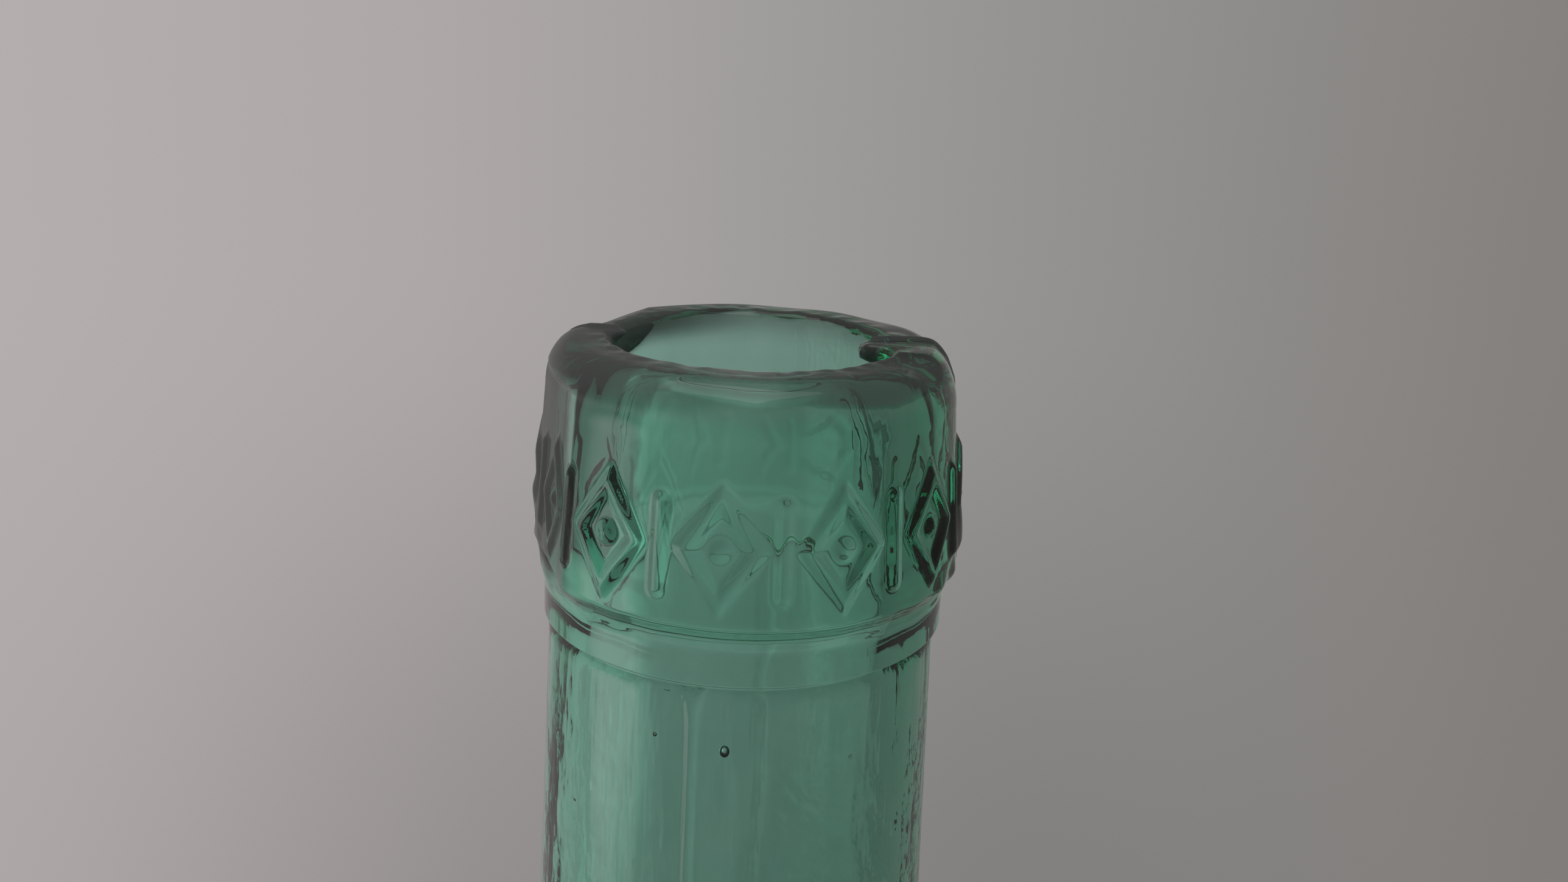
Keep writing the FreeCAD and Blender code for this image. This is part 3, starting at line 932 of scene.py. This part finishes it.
def stretched(vector, scale):
    return tree.add("ShaderNodeVectorMath", {"operation": "MULTIPLY"}, {0: vector, 1: scale})


print("the crest is at", round(height_at(0) * MM, 4), "metres")

# %% Chill marks, flow lines, blotches and grain
CHILL_SCALE, CHILL_STRETCH, CHILL_BODY, CHILL_NECK = 560.0, 0.13, 0.018, 0.07
FLOW_SCALE, FLOW_STRETCH, FLOW_LEAN, FLOW_HEIGHT = 480.0, 0.15, math.radians(40), 0.14
BLOTCH_SCALE, BLOTCH_STRETCH, BLOTCH_HEIGHT = 300.0, 0.55, 0.22
GRAIN_SCALE, GRAIN_HEIGHT = 380.0, 0.02

on_neck = down(31, 35)
chill_height = CHILL_BODY + CHILL_NECK * on_neck
chill = noise(stretched(place, (1.0, 1.0, CHILL_STRETCH)), CHILL_SCALE) * chill_height
above_body = down(130, 90)
leaning = tree.add("ShaderNodeVectorRotate", {"rotation_type": "Y_AXIS"},
                   {"Vector": place, "Angle": FLOW_LEAN})
low_right = on_neck * above_body * along(x, -2, 8) * down(36, 46)
flow = noise(stretched(leaning, (1.0, 1.0, FLOW_STRETCH)), FLOW_SCALE) * (FLOW_HEIGHT * low_right)
low_left = on_neck * above_body * along(x, -11, -17) * down(34, 42)
blotches = noise(stretched(place, (1.0, 1.0, BLOTCH_STRETCH)), BLOTCH_SCALE) * (BLOTCH_HEIGHT * low_left)
grain = noise(place, GRAIN_SCALE) * GRAIN_HEIGHT
dent = tree.add("ShaderNodeBump", None, {
    "Strength": 1.0, "Distance": MM, "Height": chill + flow + blotches + grain})
print("chill marks up to", round(CHILL_BODY + CHILL_NECK, 3), "mm high on the neck")

# %% [markdown]
# ## Film of dust, and darker patches
#
# A jar that has stood about wears a thin film of dust, which tells most where the glass is seen
# edge-on. A darker dull film lies on the lip, most on its left, on the flat on the collar's left,
# at the front right of the lip and on the bead of flash. Its colour is painted darker towards the
# right, as painted shade. A second skin of mesh could carry it, but a Mix Shader from clear glass
# to a dull plain surface gives the same veil, with the film's thickness as its factor. Each patch
# ends in a soft ramp, which the noise of the dust makes ragged.

# %% Where the film lies
DUST_SCALE, DUST_DETAIL = 160.0, 5.0
FILM_LEAST, FILM_DUST, FILM_EDGE = 0.04, 0.03, 0.03
LIP_FILM, LIP_LEFT_FILM = 0.10, 0.50
FLAT_FILM, FRONT_FILM, FLASH_FILM = 0.54, 0.60, 0.70

dust = noise(place, DUST_SCALE, DUST_DETAIL)
edge_on = tree.add("ShaderNodeLayerWeight", None, {"Blend": 0.5}, output="Facing")


def ragged(axis, reach):
    """An axis that the dust shifts to and fro, over a reach in millimetres."""
    return axis + reach * MM * (dust - 0.5)


bead = math.radians(FLASH_AZIMUTH)
across_bead = tree.add("ShaderNodeMath", {"operation": "ABSOLUTE"},
                       {0: x * math.cos(bead) + y * math.sin(bead)})
on_bead = along(across_bead, 1.7, 0.9) * along(x, 12.5, 13.5) * down(20, 16)
on_flat = along(ragged(x, 4), -17.2, -19.0) * down(27, 22)
front_right = (along(ragged(x, 6), -2, 10) * along(y, -2, -8)
               * along(ragged(z, 2), CREST - 2.8, CREST - 1.8))
# Darker patches of film: the lip, most on its left, the flat, the front right of the lip and the flash's
# bead.
dark_patches = down(4.5, 1.5) * (LIP_FILM + LIP_LEFT_FILM * along(ragged(x, 4), 2, -16))
for patch in (FLAT_FILM * on_flat, FRONT_FILM * front_right, FLASH_FILM * on_bead):
    dark_patches = tree.add("ShaderNodeMath", {"operation": "MAXIMUM"}, {0: dark_patches, 1: patch})
film = FILM_LEAST + FILM_DUST * ramp(dust, 0.42, 0.68) + FILM_EDGE * edge_on ** 4.0 + dark_patches
print("film from", FILM_LEAST, "on clean glass to about", FLASH_FILM, "on the flash")

# %% Dressing the glass
DUST_COLOUR = (0.26, 0.25, 0.235, 1)
# The darker film's two colours: the right one is darker, as painted shade away from the light on the
# left.
DARK_FILM_LEFT, DARK_FILM_RIGHT_PAINTED_SHADE = (0.055, 0.058, 0.054, 1), (0.030, 0.034, 0.031, 1)
ABSORB_COLOUR, ABSORB_DENSITY = (0.02, 0.785, 0.572, 1), 102.0


def blend(share, first, second):
    """The first colour at share 0 and the second at share 1."""
    return tree.add("ShaderNodeMix", {"data_type": "RGBA"}, {0: share, 6: first, 7: second}, output=2)


# Painted shade: the darker film's colour darkens from left to right, as if lit from the left.
dark_film_with_painted_shade = blend(along(x, -4, 8), DARK_FILM_LEFT, DARK_FILM_RIGHT_PAINTED_SHADE)
film_colour = blend(ramp(dark_patches, 0.02, 0.25), DUST_COLOUR, dark_film_with_painted_shade)
clear = tree.add("ShaderNodeBsdfPrincipled", None, {
    "Base Color": (1, 1, 1, 1), "Roughness": 0.0, "IOR": 1.52,
    "Transmission Weight": 1.0, "Normal": dent})
dust_and_dark_film = tree.add("ShaderNodeBsdfPrincipled", None, {
    "Base Color": film_colour, "Roughness": 0.7, "Normal": dent})
surface = tree.add("ShaderNodeMixShader", None, {0: film, 1: clear, 2: dust_and_dark_film})
inside_glass = tree.add("ShaderNodeVolumeAbsorption", None, {
    "Color": ABSORB_COLOUR, "Density": ABSORB_DENSITY})
tree.add("ShaderNodeOutputMaterial", None, {"Surface": surface, "Volume": inside_glass})
mesh.materials.append(glass_material)
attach(glass, "root")
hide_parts("demijohn")
print(len(glass_material.node_tree.nodes), "nodes in the glass")

# %% [markdown]
# ## Floor
#
# The jar stands on a plain pale floor. A slab with an edge would show as a bright line through the
# glass. This floor is a disc that turns clear towards its rim, so it melts into the surroundings.

# %% Floor
FLOOR_RADIUS, FLOOR_FADE = 0.6, 0.3
FLOOR_COLOUR = (0.31, 0.30, 0.29, 1)
bpy.ops.mesh.primitive_circle_add(
    vertices=128, radius=FLOOR_RADIUS, fill_type="NGON", location=(0, 0, 0))
floor = bpy.context.object
floor.name = "floor"
floor_material = bpy.data.materials.new("floor")
tree = Tree(floor_material)
from_axis = tree.add("ShaderNodeVectorMath", {"operation": "LENGTH"},
                     {0: tree.add("ShaderNodeNewGeometry", output="Position")}, output="Value")
plain = tree.add("ShaderNodeBsdfDiffuse", None, {"Color": FLOOR_COLOUR})
gone = tree.add("ShaderNodeBsdfTransparent")
faded = tree.add("ShaderNodeMixShader", None, {
    0: ramp(from_axis, FLOOR_FADE, FLOOR_RADIUS), 1: plain, 2: gone})
tree.add("ShaderNodeOutputMaterial", None, {"Surface": faded})
floor.data.materials.append(floor_material)
print("floor", 2 * FLOOR_RADIUS, "metres wide")

# %% [markdown]
# ## Lamp and surroundings
#
# Clear glass shows what is round it more than itself. A room full of lamps would fill it with
# hard lights, so there is one soft lamp overhead, and the world is a plain grey wall, lighter on
# the left. The camera sees that wall, and so do reflections and light that comes through the
# glass. The dust and the floor are lit by a plain white sky instead, which keeps their colours true.

# %% Lamp
LAMP_OFFSET = Vector((-0.1, -0.15, 0.8))
LAMP_SIZE = (0.8, 0.6)
LAMP_RADIANCE = 0.9

lamp_data = bpy.data.lights.new("ceiling", "AREA")
lamp_data.shape = "RECTANGLE"
lamp_data.size, lamp_data.size_y = LAMP_SIZE
lamp_data.energy = LAMP_RADIANCE * math.pi * LAMP_SIZE[0] * LAMP_SIZE[1]
lamp = bpy.data.objects.new("ceiling", lamp_data)
lamp.location = LAMP_OFFSET + Vector((0, 0, CREST * MM))
lamp.rotation_euler = (-LAMP_OFFSET).to_track_quat("-Z", "Y").to_euler()
lamp.visible_camera = False
bpy.context.scene.collection.objects.link(lamp)
print("ceiling lamp", round(lamp_data.energy, 2), "watts")

# %% The wall, from left to right
WALL_COLOURS = [
    (0.0, (0.50, 0.47, 0.46)), (0.26, (0.455, 0.424, 0.420)), (0.385, (0.419, 0.390, 0.388)),
    (0.5, (0.348, 0.338, 0.330)), (0.585, (0.301, 0.297, 0.288)), (0.65, (0.275, 0.270, 0.262)),
    (0.75, (0.236, 0.220, 0.210)), (1.0, (0.15, 0.145, 0.14))]
world = bpy.data.worlds.new("studio")
bpy.context.scene.world = world
tree = Tree(world)
direction = tree.add("ShaderNodeTexCoord", output="Generated")
right, ahead, up = (
    tree.add("ShaderNodeSeparateXYZ", None, {"Vector": direction}, output=axis) for axis in "XYZ")
wall = tree.add("ShaderNodeValToRGB", {"stops": WALL_COLOURS}, {"Fac": right * 0.5 + 0.5})
print(len(WALL_COLOURS), "greys on the wall")

# %% Shade on the wall, and a window low on the left that the camera doesn't see
LOW_SHADE, LOW_SHADE_BESIDE, FOOT_SHADE = 0.27, 0.7, 0.3
BEHIND_SHADE, ABOVE_SHADE = 0.65, 0.6
GLOW_DIRECTION, GLOW_STRENGTH = Vector((-0.92, -0.27, -0.32)).normalized(), 2.6
GLOW_EDGE, GLOW_MIDDLE = 0.93, 0.995

aside = tree.add("ShaderNodeMath", {"operation": "ABSOLUTE"}, {0: right})
in_middle = 1 - LOW_SHADE_BESIDE * ramp(aside, 0.15, 0.5)
low_shade = 1 - LOW_SHADE * ramp(up, -0.15, -0.6) * in_middle - FOOT_SHADE * ramp(up, -0.6, -0.95)
behind = 1 - BEHIND_SHADE * ramp(ahead, 0.2, -0.5)
above = 1 - ABOVE_SHADE * ramp(up, 0.05, 0.35)
to_glow = tree.add("ShaderNodeVectorMath", {"operation": "DOT_PRODUCT"},
                   {0: direction, 1: GLOW_DIRECTION}, output="Value")
glow = GLOW_STRENGTH * ramp(to_glow, GLOW_EDGE, GLOW_MIDDLE)
camera_ray, glossy_ray, clear_ray = (
    tree.add("ShaderNodeLightPath", output=kind)
    for kind in ("Is Camera Ray", "Is Glossy Ray", "Is Transmission Ray"))
shade = low_shade * (1 - (1 - camera_ray) * (1 - behind * above - glow))
print("the window adds up to", GLOW_STRENGTH, "times the wall's own light")

# %% Wall and sky together
SKY_COLOUR, SKY_STRENGTH = (0.85, 0.85, 0.85, 1), 0.9

seen = camera_ray
for ray in (glossy_ray, clear_ray):
    seen = tree.add("ShaderNodeMath", {"operation": "MAXIMUM"}, {0: seen, 1: ray})
back = tree.add("ShaderNodeBackground", None, {"Color": wall, "Strength": shade})
sky = tree.add("ShaderNodeBackground", None, {"Color": SKY_COLOUR, "Strength": SKY_STRENGTH})
both = tree.add("ShaderNodeMixShader", None, {0: seen, 1: sky, 2: back})
tree.add("ShaderNodeOutputWorld", None, {"Surface": both})
print(len(world.node_tree.nodes), "nodes in the world")

# %% Finish
scene = bpy.context.scene
scene.view_settings.view_transform = "Standard"
